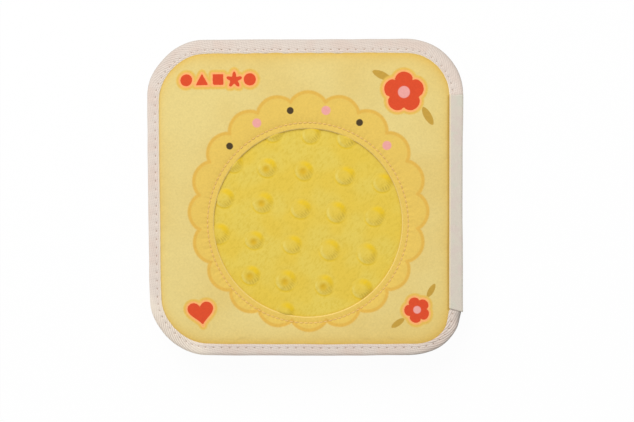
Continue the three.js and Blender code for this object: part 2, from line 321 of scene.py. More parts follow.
def brushedPrint(page, inks):
    material, tree = newMaterial(f"brushed polyester print, page {page['number']}")
    mottle = grain(tree, printLook["grain"], 3.0)
    bleed = addNode(tree, "MapRange", (mottle, 0, 1, -printLook["bleed"], printLook["bleed"]))
    layers = [("groundDeep", grain(tree, printLook["tone"]), 0.35, 0.75), ("shade", "shaded", 0, 1)]
    for name, edge, soft, ink in inks["layers"]:
        distance = addNode(tree, "Math", (field(tree, name), bleed), operation="ADD")
        layers.append((ink, distance, edge + soft, edge - soft))
    # painted shade deepens the cloth where it dips under the binding, most of all beside the spine strip. The
    # turned edge of the window shows the undyed back of the cloth, and the needle holes get painted shade
    layers += [("groove", "creaseShade", 0, 1), ("rim", "fromWindow", 0.25, -0.15, 0.65),
               ("hole", needleHoles(tree, 0.25), 0.35, 0.85, 0.35)]
    # a fine mottle over all of it
    light = addNode(tree, "MapRange", (mottle, 0.3, 0.7, 0.955, 1.045))
    colour = addNode(tree, "Mix", {0: 1.0, 6: paintOver(tree, inks, layers), 7: light}, output=2,
                     data_type="RGBA", blend_type="MULTIPLY")
    return finishMaterial(material, colour, mottle, printLook)


# Cotton twill tape, woven 0.5 mm apart: the eye sees slanting ribs, which open up where the tape bends round
# a corner. The ribs are drawn 1.25 mm apart so that they show
twill = {"pitch": 1.25, "slant": radians(13), "cross": 1.05, "roughness": 0.82, "relief": 0.08,
         "ground": "EBDDD1", "valley": "D0C1B5", "open": "B9A79B", "tint": "E9D4C6", "hole": "B08F78",
         "tuckShade": "8F877E", "selvedgeLight": "FAEDDA", "tapeShade": "A39B93"}


def twillTape():
    material, tree = newMaterial("cotton twill tape")
    along, across, opened = (field(tree, name) for name in ("along", "across", "opened"))
    ribs = addNode(tree, "Math", (grain(tree, 3.0), 0.5, field(tree, "ribPlace")), operation="MULTIPLY_ADD")
    ribs = waves(tree, ribs, twill["pitch"])
    threads = addNode(tree, "Math", (along, 0.9, across), operation="MULTIPLY_ADD")
    threads = waves(tree, threads, twill["cross"])
    ribShare = addNode(tree, "MapRange", (opened, 0, 1, 0.5, 1))
    height = addNode(tree, "Math", (ribs, ribShare), operation="MULTIPLY")
    threadShare = addNode(tree, "MapRange", (field(tree, "cornerShare"), 0, 1, 0.45, 0.15))
    height = addNode(tree, "Math", (threads, threadShare, height), operation="MULTIPLY_ADD")
    height = addNode(tree, "Math", (grain(tree, 0.8, 3.0), 0.8, height), operation="MULTIPLY_ADD")
    # where the tape bends round a corner its ribs stand open
    gaps = addNode(tree, "Math", (ribs, opened), operation="MULTIPLY")
    # painted shade in the rib valleys, open ribs' gaps, tuck under the strip and needle holes; painted edge
    # light and shade
    colour = paintOver(tree, twill, [
        ("tint", grain(tree, 9.0), 0.4, 0.7, 0.7), ("valley", height, 0.5, -0.75, 0.75),
        ("selvedgeLight", "selvedgeLight", 0.2, 0.8, 0.9), ("open", gaps, -0.1, -1, 0.75), ("tapeShade", "tapeShade", 0, 1),
        ("tuckShade", "tuck", 0, 1, 0.8), ("hole", needleHoles(tree, 0.15), 0.6, 0.9, 0.85),
    ])
    return finishMaterial(material, colour, height, twill)


# Plain woven cotton, pressed flat: an even, slightly slubby cloth with almost no shine. Its threads are
# 0.35 mm apart and are drawn 0.9 mm apart
plainWeave = {"pitch": 0.9, "roughness": 0.85, "relief": 0.04, "ground": "E0D7C8", "valley": "D3C8B8",
              "tint": "DFD1C6", "green": "DBD8C7", "edge": "F0DFBC"}


def plainCotton():
    material, tree = newMaterial("plain woven cotton")
    place = addNode(tree, "TexCoord", output="Object")
    place = addNode(tree, "VectorMath", (place, (1 / mm, 1 / mm, 1 / mm)), operation="MULTIPLY")
    x, y, z = addNode(tree, "SeparateXYZ", (place,)).node.outputs
    warp = waves(tree, addNode(tree, "Math", (x, z), operation="ADD"), plainWeave["pitch"])
    weave = addNode(tree, "Math", (waves(tree, y, plainWeave["pitch"]), warp), operation="MULTIPLY")
    slub = grain(tree, 1.2, 3.0, (1, 0.3, 1))
    height = addNode(tree, "Math", (slub, 2.0, weave), operation="MULTIPLY_ADD")
    # painted shade between the threads and a painted highlight along the strip's folded inner edge
    colour = paintOver(tree, plainWeave, [
        ("tint", grain(tree, 7.0), 0.45, 0.65), ("green", grain(tree, 5.0), 0.45, 0.3),
        ("valley", height, 1.4, 0.2, 0.7), ("edge", x, 83.0, 82.1, 0.75),
    ])
    return finishMaterial(material, colour, height, plainWeave)


# Open-cell foam, sliced: matt, with pinholes about 0.8 mm wide, painted darker as painted shade
foamLook = {"pinhole": 0.8, "ground": "F3EFE4", "dark": "D9D2C0", "relief": 0.2, "roughness": 0.95}


def openFoam():
    material, tree = newMaterial("open-cell foam")
    place = addNode(tree, "TexCoord", output="Object")
    cells = addNode(tree, "TexVoronoi", {"Vector": place, "Scale": 1 / (foamLook["pinhole"] * mm)},
                    output="Distance")
    return finishMaterial(material, paintOver(tree, foamLook, [("dark", cells, 0.35, 0.1)]), cells, foamLook)


# Spun polyester sewing thread, twisted: a slight silky light along each stitch
def sewingThread(name, hexColour, hexDark):
    material, tree = newMaterial(name)
    look = {"ground": hexColour, "dark": hexDark, "relief": 0.02, "roughness": 0.55, "sheen": (0.15,)}
    strands = grain(tree, 0.3)
    return finishMaterial(material, paintOver(tree, look, [("dark", strands, 0.6, 0.3, 0.45)]), strands, look)


# Dimple plush, knitted polyester with a short pile that leans to the lower left: where a dot turns away from
# the pile the eye looks into it and sees a deeper gold, and the side that it lies on looks pale. This sheen
# is painted by each dot's slope. Each dot also gets painted light on its side away from the lamp and painted
# shade on the side towards it, a painted highlight inside its lower left edge and painted shade in its dimple
plush = {"pale": "E9CF5B", "deep": "E9C31A", "ground": "EACA4B", "shadow": "DABB3D", "lying": "EAD05C",
         "outline": "B5932A", "pit": "DEB11C", "bright": "F8DA58", "shadedSide": "DBBF4A", "lit": "F0DC74",
         "lean": radians(-32), "roughness": 0.9, "relief": 0.1, "sheen": (0.25, 0.45)}


def dimplePlush():
    material, tree = newMaterial("dimple plush")
    fibres = grain(tree, 0.5, 2.0, (0.75, 2.2, 1.0), plush["lean"])
    tufts = grain(tree, 1.5, 3.0, (0.8, 1.5, 1.0), plush["lean"])
    colour = paintOver(tree, plush, [
        ("pale", grain(tree, 17.0), 0.35, 0.65), ("lying", "nap", 0, -0.6, 0.6),
        ("bright", "turned", 0, 0.42), ("shadedSide", "turned", 0, -0.42, 0.9), ("deep", "nap", 0.04, 0.5, 0.35),
        ("deep", "crest", 0, 1, 0.95), ("deep", "foot", 0, 1, 0.7), ("lit", "lit", 0, 1, 0.8),
        ("pit", "pit", 0, 1, 0.95), ("outline", "pileRay", 0.1, 1, 0.5), ("shadow", tufts, 0.55, 0.3, 0.5),
        ("shadow", fibres, 0.5, 0.25, 0.45),
    ])
    height = addNode(tree, "Math", (tufts, 1.2, fibres), operation="MULTIPLY_ADD")
    return finishMaterial(material, colour, height, plush)


# The other cloths, each with a field that says how high its pile or weave stands; painted shade darkens it
# where it stands low
def reliefCloth(look):
    material, tree = newMaterial(look["name"])
    fibres = grain(tree, look["grain"], 3.0)
    stands = addNode(tree, "Math", (fibres, 0.35, field(tree, "stands")), operation="MULTIPLY_ADD")
    return finishMaterial(material, paintOver(tree, look, [("high", stands, 0.25, 0.95)]), fibres, look)


clothLooks = {
    # cut-pile cotton cords: dark between the wales, velvety on top
    "corduroy": ("cotton corduroy", "6FA3C6", "3F6E91", 0.7, 0.12, 0.88, (0.3,)),
    # looped cotton towelling: bright loop tops over a shaded ground
    "terry": ("cotton terry", "F8F4E9", "D3CBB6", 0.6, 0.15, 0.95, (0.2,)),
    # polyester satin: smooth floats that catch the light along each fold
    "satin": ("polyester satin", "EE9C92", "D77C73", 0.35, 0.01, 0.34, (0.1,)),
    # coated leatherette: an embossed pebble grain with a low shine
    "leatherette": ("embossed leatherette", "C07E54", "8A5232", 0.5, 0.03, 0.48, ()),
    # cotton waffle weave: square hollows between raised threads
    "waffle": ("cotton waffle weave", "F0E7D7", "CDBFA8", 0.8, 0.08, 0.9, (0.1,)),
}
cloths = {"dimple_plush": dimplePlush()}
for cloth, look in clothLooks.items():
    look = dict(zip(("name", "high", "ground", "grain", "relief", "roughness", "sheen"), look))
    cloths[cloth] = reliefCloth(look)
tapeMaterial, stripMaterial, foamMaterial = twillTape(), plainCotton(), openFoam()
windowThread = sewingThread("peach polyester thread", "F2CB80", "DDA55A")
edgeThread = sewingThread("natural polyester thread", "EFE4DA", "D2C4B8")
print("cloth, tape, foam and thread materials ready")


# The printed motifs: plain garden shapes, given as closed outlines
def placed(outline, x, y, size=1.0, turn=0.0):
    angle = radians(turn)
    spin = np.array([[cos(angle), sin(angle)], [-sin(angle), cos(angle)]])
    return outline * size @ spin + np.array([x, y])


def polarShape(reach, count):
    angle = np.arange(count) * tau / count
    return np.stack([reach(angle) * np.cos(angle), reach(angle) * np.sin(angle)], axis=-1)


def blossom(petals):
    return polarShape(lambda angle: 0.72 + 0.28 * np.abs(np.cos(petals * angle / 2)) ** 0.6, petals * 14)


def cornered(sides):
    return polarShape(lambda angle: 1 + 0 * angle, sides)


def star(points):
    return polarShape(lambda angle: 0.72 + 0.28 * np.cos(points * angle), points * 6)


def distanceTo(x, y, outline):
    # distance from a closed outline, negative inside
    nearest, inside = np.full(x.shape, np.inf), np.zeros(x.shape, bool)
    for (ax, ay), (bx, by) in zip(outline, np.roll(outline, -1, axis=0)):
        ex, ey, wx, wy = bx - ax, by - ay, x - ax, y - ay
        share = np.clip((wx * ex + wy * ey) / (ex * ex + ey * ey), 0, 1)
        nearest = np.minimum(nearest, (wx - ex * share) ** 2 + (wy - ey * share) ** 2)
        if ay != by:
            inside ^= ((ay <= y) != (by <= y)) & (x < ax + (y - ay) / (by - ay) * ex)
    return np.sqrt(nearest) * np.where(inside, -1, 1)


disc = cornered(24)
turn = np.arange(48) * tau / 48
heartTop = 13 * np.cos(turn) - 5 * np.cos(2 * turn) - 2 * np.cos(3 * turn) - np.cos(4 * turn)
heart = np.stack([16 * np.sin(turn) ** 3, heartTop], axis=-1) / 16
turn = np.linspace(0, pi, 14)
leafEdge = np.stack([-np.cos(turn), 0.36 * np.sin(turn) ** 1.3], axis=-1)
leafShape = np.concatenate([leafEdge, (leafEdge * [1, -1])[-2:0:-1]])
cloud = polarShape(lambda angle: (0.8 + 0.2 * np.abs(np.sin(2.5 * angle))) * (
    1 - 0.42 * np.abs(np.sin(angle)) ** 2), 70)

# Page 1: a sunflower round the window, a row of counting shapes, and a blossom or heart in the corners
sunflower = {"centre": (1.7, -7.6), "radius": 62.4, "petalHeight": 5.2, "petals": 20, "beadRing": 58.3}
petalRim = polarShape(lambda angle: sunflower["radius"] + sunflower["petalHeight"] * np.abs(
    np.cos(sunflower["petals"] * angle / 2)) ** 0.7, sunflower["petals"] * 12)


def beads(size, *places):
    # discs on the sunflower's ring, at these degrees
    ring = [sunflower["centre"] + sunflower["beadRing"] * np.array([cos(radians(place)), sin(radians(place))])
            for place in places]
    return [(cornered(20), x, y, size) for x, y in ring]


motifs = {
    "band": [(petalRim, *sunflower["centre"])],
    "accent": [(blossom(5), 56, 60, 11.5, 18), (heart, -60.5, -65, 7.6, 8), (blossom(5), 63.5, -64, 7.4, 40),
               (disc, -67.5, 67.5, 3.5), (cornered(3), -58.4, 66.6, 4.4, 90),
               (cornered(4), -49.2, 67.5, 4.3, 45), (star(5), -40.0, 67.3, 4.8, 90),
               (disc, -31.2, 67.5, 3.5)],
    "leafy": [(leafShape, 69.5, 46.5, 6.0, 120), (leafShape, 43.5, 69.5, 6.0, 155),
              (leafShape, 71.5, -53, 4.6, 60), (leafShape, 52.5, -71.5, 4.6, 35)],
    "pink": [(disc, 56, 60, 3.4), (disc, 63.5, -64, 2.2), *beads(2.6, 40, 80, 120)],
    "dark": beads(2.0, 60, 100, 140),
}
pages[1]["prints"] = {name: [placed(*motif) for motif in group] for name, group in motifs.items()}
pages[1]["inks"] = {
    "ground": "EAD488", "groundDeep": "E6CC7C", "shade": "E6C062", "groove": "C09840", "rim": "F0D68A",
    "hole": "C99C54",
    "layers": [
        ("band", 1.3, 0.5, "E6B850"), ("band", -0.6, 0.5, "EBC75F"), ("leafy", 0.0, 0.2, "C9A040"),
        ("accent", 2.4, 0.6, "EBBF58"), ("accent", 1.1, 0.3, "FFB56E"), ("accent", 0.0, 0.18, "E24E27"),
        ("pink", 0.0, 0.35, "F2A9A2"), ("dark", 0.0, 0.25, "4A3B22"),
    ],
}

# The inner pages and the back: a band round the window and four motifs. Each has its ground, a deeper tone,
# painted shade, painted groove shade, band, the band's line, accent, the accent's halo and second ink, then
# motifs and their sizes
quietPages = {
    2: ("BFDBE6", "B2D2DF", "8FB9CC", "5D7F92", "A3CADD", "74A8C6", "F7F4EA", "E3EEF1", "F0C75A",
        (cloud, star(5), cloud, star(5)), (11, 8, 12, 7)),
    3: ("CFE0B0", "C4D8A1", "A3BC74", "6E8748", "B7D28E", "8DB45C", "E2583A", "F5C6A0", "6F9E4B",
        (blossom(5), leafShape, blossom(6), leafShape), (9, 10, 9, 10)),
    4: ("F0C9BD", "EBBEB1", "DB9A8A", "A8695B", "EBB0A2", "D9826F", "D9534A", "FBE3D6", "FFF4E6",
        (heart, disc, heart, disc), (9, 5, 8, 6)),
    5: ("F2DCB2", "EDD3A2", "D6AE6C", "9A7136", "E6C286", "C48F48", "5FA39A", "DCE7D6", "B9744A",
        (cornered(3), cornered(4), cornered(3), cornered(4)), (9, 8, 8, 9)),
    6: ("D9CFE4", "D0C4DE", "B19FC9", "7B6A95", "C4B4DA", "9A83BD", "F0C75A", "FAEBC4", "8FB9CC",
        (star(5), disc, star(6), disc), (10, 5, 9, 6)),
}
cornerPlaces = [(58, 60, 10), (-60, 60, 30), (-60, -66, -12), (58, -66, 15)]
for number, values in quietPages.items():
    ground, deep, shade, groove, bandInk, line, accent, halo, second, motifs, sizes = values
    page = pages[number]
    ring = polarShape(lambda angle: windowReach(page, angle) + 11, 180)
    motifs = [placed(motif, x * page["side"], y, size, turn)
              for motif, size, (x, y, turn) in zip(motifs, sizes, cornerPlaces)]
    page["prints"] = {
        "band": [placed(ring, *window["centre"])],
        "accent": motifs[0::2],
        "leafy": motifs[1::2] + [placed(cornered(16), x, 72, 2) for x in (-18, -6, 6, 18)],
    }
    page["inks"] = {
        "ground": ground, "groundDeep": deep, "shade": shade, "groove": groove, "hole": groove,
        "rim": "F4EEE2",
        "layers": [("band", 0.9, 0.3, line), ("band", -0.9, 0.3, bandInk), ("accent", 1.3, 0.3, halo),
                   ("accent", 0.0, 0.2, accent), ("leafy", 0.0, 0.2, second)],
    }
print("printed motifs ready")


# Printed panels: padded between the binding and the window, drawn in at the window's seam
panel = {"inset": 1.5, "thickness": 0.6, "underTape": 2.8, "crown": 3.1, "rim": 2.78, "tapeEase": 3.2,
         "rimEase": 6, "seamDip": 0.17, "puckers": 0.05, "uneven": 0.06}


def seamPhase(page, x, y):
    # 1 at each needle hole of the window's seam and -1 half way between two
    return np.cos(page["stitches"] * np.arctan2(y - centreY, x - centreX))


def panelHeight(page, x, y):
    seamGap = fromWindow(page, x, y) - window["seamOffset"]
    ease = 1 - np.exp(-np.maximum(seamGap, 0) / panel["rimEase"])
    rise = 1 - np.exp(-np.maximum(fromTape(x, y), 0) / panel["tapeEase"])
    height = panel["rim"] + (panel["crown"] - panel["rim"]) * ease
    height = panel["underTape"] + (height - panel["underTape"]) * rise
    phase = seamPhase(page, x, y)
    height = height - panel["seamDip"] * bump(seamGap, 0.75) * (0.7 + 0.3 * phase)
    height = height - panel["puckers"] * phase * bump(seamGap - 1.6, 1.3)
    return height + panel["uneven"] * rise * ripple(x, y, 48, 10 + page["number"])


# The padding swells the cloth between its two lines of stitching. A coarse net of each panel, ten times life
# size and held at both lines, is blown up as cloth, and the panels take over its rise
padding = {"rings": 26, "spokes": 180, "firstInset": 6.4, "pressure": 3.0, "slack": 0.004, "frames": 16,
           "most": 0.35, "scale": 10}


def seamLines(page, count):
    # points along the binding's line of stitching and along the window's
    share = np.arange(count) / count
    return (followOutline(share * outlineLength, padding["firstInset"]),
            windowRing(page, share * tau, window["seamOffset"]))


def swellPadding():
    rings, spokes, scale, scene = padding["rings"], padding["spokes"], padding["scale"], bpy.context.scene
    for page in pages.values():
        page["rise"] = np.zeros((rings, spokes))
    nets = []
    for page in pages.values():
        outer, inner = (line[:, None] for line in seamLines(page, spokes))
        x, y = outer + (inner - outer) * np.linspace(0, 1, rings)[:, None]
        points = np.stack([x, y, panelHeight(page, x, y)], axis=-1).reshape(-1, 3) * mm * scale
        mesh = bpy.data.meshes.new("paddingNet")
        mesh.from_pydata(points.tolist(), [], rowsOfQuads(rings, spokes, False))
        net = addObject("paddingNet", mesh)
        held = net.vertex_groups.new(name="held")
        held.add([*range(spokes), *range(len(points) - spokes, len(points))], 1.0, "REPLACE")
        cloth = net.modifiers.new("padding", "CLOTH")
        cloth.settings.quality = 5
        cloth.settings.mass = 0.3
        cloth.settings.bending_stiffness = 2.0
        cloth.settings.vertex_group_mass = "held"
        cloth.settings.use_pressure = True
        cloth.settings.uniform_pressure_force = padding["pressure"]
        cloth.settings.shrink_min = -padding["slack"]
        cloth.settings.effector_weights.gravity = 0
        cloth.collision_settings.use_collision = False
        nets.append((page, net, points[:, 2]))
    for step in range(1, padding["frames"] + 1):
        scene.frame_set(step)
    seen = bpy.context.evaluated_depsgraph_get()
    for page, net, before in nets:
        places = np.empty(len(before) * 3)
        net.evaluated_get(seen).data.vertices.foreach_get("co", places)
        rise = np.abs(places[2::3] - before) / mm / scale
        page["rise"] = padding["most"] * np.tanh(rise / padding["most"]).reshape(rings, spokes)
        bpy.data.objects.remove(net, do_unlink=True)
    scene.frame_set(1)


def paddingRise(page, x, y):
    # the rise of points that lie in rows round the page
    outer, inner = seamLines(page, x.shape[1])
    dx, dy = inner - outer
    inwards = ((x - outer[0]) * dx + (y - outer[1]) * dy) / (dx ** 2 + dy ** 2)
    ring = np.clip(inwards, 0, 1) * (padding["rings"] - 1.001)
    spoke = np.broadcast_to(np.arange(x.shape[1]) / x.shape[1] * padding["spokes"], x.shape)
    i, j = np.floor(ring).astype(int), np.floor(spoke).astype(int)
    u, v, nextJ, rise = ring - i, spoke - j, (j + 1) % padding["spokes"], page["rise"]
    near, far = (rise[row, j] * (1 - v) + rise[row, nextJ] * v for row in (i, i + 1))
    return near * (1 - u) + far * u


# Rows of points from the binding to the window: these insets from the leaf's edge, then even rows, then these
# offsets from the window's edge, which rolls over and under
panelRows = {
    "insets": [panel["inset"], 3.5, 5.2, 5.9] + [6.2 + 0.3 * step for step in range(12)],
    "even": 46,
    "offsets": [9, 8, 7, 6.2, 5.5, 5, 4.6, 4.2, 3.9, 3.6, 3.35, 3.1, 2.85, 2.6, 2.3, 1.9, 1.5, 1.1, 0.75,
                0.45, 0.2],
    "roll": [(0.0, 0.05), (-0.16, 0.16), (-0.3, 0.34), (-0.4, 0.56), (-0.4, 0.74), (-0.25, 0.84)],
}


def makePanel(page):
    share = np.arange(page["around"]) / page["around"]
    angle = share * tau
    outer = [followOutline(share * outlineLength, inset) for inset in panelRows["insets"]]
    inner = [windowRing(page, angle, offset) for offset in panelRows["offsets"]]
    steps = np.linspace(0, 1, panelRows["even"])[1:-1]
    middle = [outer[-1] + (inner[0] - outer[-1]) * step for step in steps]
    x, y = np.swapaxes(outer + middle + inner, 0, 1)
    top = np.array([x, y, panelHeight(page, x, y) + paddingRise(page, x, y)])
    edge = [(*windowRing(page, angle, offset), top[2, -1] - drop) for offset, drop in panelRows["roll"]]
    back = [windowRing(page, angle, 2), windowRing(page, angle, 6), middle[22], outer[-1], outer[3], outer[0]]
    back = [(*place, panelHeight(page, *place) - panel["thickness"]) for place in back]
    x, y, z = np.concatenate([top, np.swapaxes(edge + back, 0, 1)], axis=1)
    tapeGap, windowGap = fromTape(x, y), fromWindow(page, x, y)
    besideSpine = easeIn(x, 74, 78) * easeIn(y, spineBottom - 1, spineBottom + 1) * (
        1 - easeIn(y, spineTop - 1, spineTop + 1))
    shaded = 0.7 * np.exp(-np.maximum(tapeGap, 0) / 2.6) + 0.16 * easeIn(x, 20, 80)
    fields = {
        "shaded": shaded + 0.25 * easeIn(np.abs(y), 52, 84),
        # painted shade in the crease along the binding, deeper beside the spine strip
        "creaseShade": 0.35 * bump(tapeGap - 0.05, 0.45) + besideSpine * 0.65 * bump(tapeGap - 0.45, 0.85),
        "fromWindow": windowGap, "fromSeam": windowGap - window["seamOffset"],
        "stitchPhase": seamPhase(page, x, y),
    }
    for name, outlines in page["prints"].items():
        fields[name] = np.minimum.reduce([distanceTo(x, y, outline) for outline in outlines])
    return loopPiece(f"page{page['number']}Panel", atHeight(page, x, y, z), brushedPrint(page, page["inks"]),
                     fields=fields)


# The cloth behind each window: a square net of points, pulled into the window's shape. The last four values
# are the pitches of the corduroy's wales, the terry's loops, the leatherette's grain and the waffle's squares
patch = {"face": 1.9, "thickness": 0.6, "net": 300, "coarserNet": {"satin": 120, "waffle": 240},
         "wale": 2.6, "loop": 2.0, "pebble": 2.4, "square": 4.6}
dots = {
    "radius": 5.7, "height": 1.35, "dimple": 0.65, "streaks": 1.35,
    # the middle of each dot on the page, and whether it is dimpled
    "places": [
        (-17.9, 38.1, 0), (3.5, 36.7, 0), (23.6, 34.2, 0),
        (-41.2, 20.8, 0), (-21.7, 17.5, 1), (-0.8, 15.7, 1), (22.6, 12.9, 0), (43.9, 8.7, 0),
        (-46.1, 0.3, 0), (-24.4, -2.3, 1), (-2.7, -6.1, 0), (17.6, -8, 0), (39.7, -10.3, 0),
        (-49.5, -20, 0), (-29.3, -23.8, 1), (-7.7, -26.4, 0), (13.8, -29.5, 0), (35.1, -31.8, 0),
        (56.6, -34.3, 0), (-52, -41.2, 0), (-31.6, -43.9, 1), (-11.4, -47, 1), (10.5, -49.7, 1),
        (32.1, -52, 0), (-12.2, -65, 0),
    ],
}


def plushSurface(page, x, y):
    # how high the plush stands, and the fields that colour its pile
    height = 0.1 * ripple(x, y, 19, 40) + 0.03 * ripple(x, y, 3.1, 41)
    crest, lit, foot, ray, pit = (np.zeros_like(x) for _ in range(5))
    chance = np.random.default_rng(7)

    def towards(degrees, narrow=1.0):
        # 1 on the side of a dot that faces this way, 0 on the far side
        return np.clip(np.cos(angle - radians(degrees)), 0, 1) ** narrow

    for cx, cy, dimpled in dots["places"]:
        radius = dots["radius"] * chance.uniform(0.94, 1.05)
        wide, lean = chance.uniform(0.95, 1.06), chance.uniform(0, pi)
        dx, dy = x - cx, y - cy
        u = (dx * cos(lean) + dy * sin(lean)) * wide
        v = (dy * cos(lean) - dx * sin(lean)) / wide
        reach, angle = np.hypot(u, v) / radius, np.arctan2(dy, dx)
        dome = np.where(reach < 1.06, (1 - np.minimum(reach / 1.06, 1) ** 2.3) ** 1.5, 0)
        height = height + dots["height"] * chance.uniform(0.9, 1.0) * dome
        height = height - 0.14 * bump(reach - 1.12, 0.16)
        if dimpled:
            hollow = bump(np.hypot(dx + chance.uniform(0.2, 0.9), dy + chance.uniform(0.3, 1.0)), 2.1)
            height = height - dots["dimple"] * hollow
            pit = pit + hollow ** 0.8
        # painted sheen: a deep gold crest upper right and foot lower left; a painted highlight inside the
        # lower left edge
        crest = crest + chance.uniform(0.85, 1.0) * bump(reach - 0.72, 0.31) * towards(50, 1.1)
        lit = lit + chance.uniform(0.6, 1.0) * bump(reach - 0.84, 0.16) * towards(208, 1.3)
        foot = foot + bump(reach - 1.06, 0.11) * towards(252)
        # below a dot the pile parts in streaks
        aslant = dx * 0.77 + dy * 0.64 + 0.35 * np.sin(dy * 0.9 + cx)
        streaks = (0.5 + 0.5 * np.cos(aslant * tau / dots["streaks"] + cy)) ** 1.5
        ray = ray + bump(reach - 0.66, 0.34) * towards(-50, 0.8) * (0.2 + 0.8 * streaks)
    # painted shade beside the window's edge, where the plush dips under the panel
    ray = ray + 0.4 * bump(fromWindow(page, x, y) + 0.7, 1.3)
    slopeX = -np.gradient(height)[1] / np.maximum(np.gradient(x)[1], 0.05)
    slopeY = -np.gradient(height)[0] / np.maximum(np.gradient(y)[0], 0.05)
    return height, {"nap": slopeX * 0.87 + slopeY * 0.5, "turned": slopeX * 0.5 - slopeY * 0.87,
                    "crest": crest, "lit": lit, "foot": foot, "pileRay": ray, "pit": pit}


def cellDistance(x, y, pitch, seed, loose=0.8, cells=256):
    # distance to the nearest of many scattered points, in pitches
    jitter = np.random.default_rng(seed).uniform(-loose / 2, loose / 2, (cells, cells, 2))
    column, row = np.floor(x / pitch).astype(int), np.floor(y / pitch).astype(int)
    nearest = np.full(x.shape, 9.0)
    for i in (-1, 0, 1):
        for j in (-1, 0, 1):
            offset = jitter[(column + i) % cells, (row + j) % cells]
            dx = x / pitch - (column + i + 0.5 + offset[..., 0])
            dy = y / pitch - (row + j + 0.5 + offset[..., 1])
            nearest = np.minimum(nearest, np.hypot(dx, dy))
    return nearest


def clothSurface(page, x, y):
    # height in millimetres above the patch's face, and how high the pile or weave stands from 0 to 1
    cloth, x = page["cloth"], x * page["side"]
    if cloth == "corduroy":
        wale = 0.5 - 0.5 * np.cos(x * tau / patch["wale"] + 0.1 * ripple(x, y, 30, 50))
        stands = wale ** 0.7 * (0.94 + 0.06 * ripple(x, y, 4, 55))
        height = 0.55 * stands
    elif cloth == "terry":
        stands = bump(cellDistance(x, y, patch["loop"], 51), 0.5)
        height = 0.7 * stands
    elif cloth == "satin":
        fold = 0.28 * ripple(x * 0.5, y, 22, 52) + 0.12 * ripple(x, y * 0.4, 13, 53)
        height, stands = 0.3 + fold, 0.5 + fold
    elif cloth == "leatherette":
        pebble = 1 - easeIn(cellDistance(x, y, patch["pebble"], 54), 0.3, 0.75)
        height, stands = 0.22 * pebble, 0.25 + 0.75 * pebble
    else:
        ribs = np.maximum(*(np.abs(np.cos(place * pi / patch["square"])) for place in (x, y))) ** 3
        stands = ribs * (0.9 + 0.1 * np.sin((x + y) * tau / 1.2))
        height = 0.65 * stands
    return height, {"stands": stands}


def makePatch(page):
    size = patch["coarserNet"].get(page["cloth"], patch["net"])
    u, v = np.meshgrid(np.linspace(-1, 1, size + 1), np.linspace(-1, 1, size + 1))
    across, up = u * np.sqrt(1 - v * v / 2), v * np.sqrt(1 - u * u / 2)
    angle = np.arctan2(up, across)
    reach = (windowReach(page, angle) + window["allowance"]) * np.hypot(across, up)
    x, y = centreX + reach * np.cos(angle), centreY + reach * np.sin(angle)
    surface = plushSurface if page["cloth"] == "dimple_plush" else clothSurface
    height, fields = surface(page, x, y)
    # the pile is pressed flat where the panel covers it
    free = 1 - easeIn(fromWindow(page, x, y), -1.2, 1.2)
    flat = np.stack([x, y, patch["face"] + height * free], axis=-1).reshape(-1, 3)
    index = np.arange((size + 1) ** 2).reshape(size + 1, size + 1)
    border = np.concatenate([index[0, :-1], index[:-1, -1], index[-1, :0:-1], index[:0:-1, 0]])
    low = flat[border].copy()
    low[:, 2] = patch["face"] - patch["thickness"]
    points = np.concatenate([flat, low, [[centreX, centreY, patch["face"] - patch["thickness"]]]])
    faces = rowsOfQuads(size + 1, size + 1, False, False)
    first, count = len(flat), len(border)
    for i in range(count):
        j = (i + 1) % count
        faces.append([int(border[j]), int(border[i]), first + i, first + j])
        faces.append([first + j, first + i, first + count])
    fields = {name: np.concatenate([values.ravel(), np.zeros(count + 1)]) for name, values in fields.items()}
    return closedPiece(f"page{page['number']}Patch", atHeight(page, *points.T), faces, cloths[page["cloth"]],
                       fields)


# Stitches: short bent threads that dive into the cloth at both ends
stitch = {"rings": 9, "sides": 6, "dive": 0.35, "windowGap": 0.55, "windowRadius": 0.27, "windowLift": 0.12,
          "edgeGap": 0.9, "edgeRadius": 0.18, "edgeLift": 0.02, "edgeSink": 0.05}


def stitchRow(page, seam, here, there, height, length, material):
    # here and there are points on the seam that show where each stitch lies and where it heads
    rings, sides = stitch["rings"], stitch["sides"]
    radius, lift = stitch[f"{seam}Radius"], stitch[f"{seam}Lift"]
    share, turn = np.linspace(-1, 1, rings), np.arange(sides) * tau / sides
    width = radius * np.sqrt(np.maximum(1 - share ** 6, 0.05))
    rise = lift - (lift + stitch["dive"]) * share ** 4
    ahead, left = (there - here) / np.hypot(*(there - here))
    heading = np.stack([ahead, left, 0 * left], axis=-1)
    sideways = np.stack([-left, ahead, 0 * left], axis=-1)
    upward = np.array([0, 0, page["side"]])
    spine = atHeight(page, *here, height)[:, None] + heading[:, None] * (share * length / 2)[:, None]
    spine = spine + upward * rise[:, None]
    points = spine[:, :, None] + width[:, None, None] * (
        sideways[:, None, None] * np.cos(turn)[:, None] + upward * np.sin(turn)[:, None])
    ends = list(range(sides))
    pattern = rowsOfQuads(rings, sides, False) + [ends[::-1], [index + (rings - 1) * sides for index in ends]]
    faces = [[index + rings * sides * number for index in face]
             for number in range(len(spine)) for face in pattern]
    name = f"page{page['number']}{seam.capitalize()}Seam"
    return closedPiece(name, points.reshape(-1, 3), faces, material)


def windowStitches(page):
    count, ahead = page["stitches"], 0.01
    angle = (np.arange(count) + 0.5) * tau / count
    here, there = (windowRing(page, angle + turn, window["seamOffset"]) for turn in (0, ahead))
    length = np.hypot(*(there - here)).mean() / ahead * tau / count - stitch["windowGap"]
    return stitchRow(page, "window", here, there, panelHeight(page, *here), length, windowThread)


